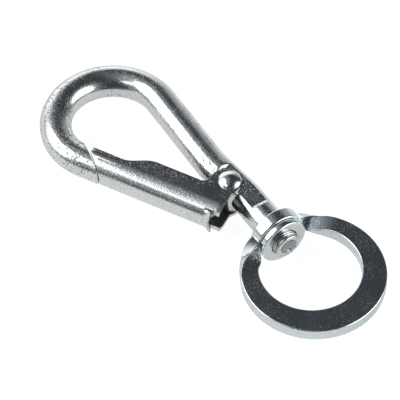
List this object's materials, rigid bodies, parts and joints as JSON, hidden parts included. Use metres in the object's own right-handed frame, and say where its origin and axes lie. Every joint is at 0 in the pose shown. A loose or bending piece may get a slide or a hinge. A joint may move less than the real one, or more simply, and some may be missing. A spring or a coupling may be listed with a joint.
{
  "type": "swivel snap hook",
  "caption": "Swivel snap hook in zinc-plated steel: a round-bar hook closed by a sprung folded-sheet gate, turning freely in a flat ring eye.",
  "frame": {"origin": "centre of the ring eye, in its mid-plane", "axes": "+X along the swivel axis, from the hook out past the ring; +Y towards the spine of the hook, so the gate and the bow lie on the -Y side; +Z square to the flat of the ring and of the hook"},
  "size_m": [0.1017, 0.0501, 0.013],
  "materials": {
    "forged_zinc": "bright zinc plate over a forged bar, slightly grainy",
    "sheet_zinc": "bright zinc plate over smooth sheet",
    "rivet_zinc": "bright zinc plate, polished dome",
    "spring_wire": "plain drawn spring wire",
    "stamped_zinc": "bright zinc plate over stamped flat stock, speckled"
  },
  "bodies": {
    "hook": {"hook_body": "forged_zinc", "gate_rivet": "rivet_zinc", "gate_spring": "spring_wire", "end_washer": "sheet_zinc"},
    "gate": {"gate": "sheet_zinc"},
    "ring": {"swivel_ring": "stamped_zinc"}
  },
  "joints": [
    {"name": "gate_pivot", "type": "hinge", "parent": "hook", "child": "gate", "pos_m": [-0.032, -0.0024, 0], "axis": [0, 0, 1], "range_deg": [-28, 0], "stiffness_Nm_per_rad": 0.35, "springref_deg": 22.92, "deforming": ["gate_spring"]},
    {"name": "ring_swivel", "type": "hinge", "parent": "hook", "child": "ring", "pos_m": [-0.01555, 0, 0], "axis": [1, 0, 0], "continuous": true}
  ]
}
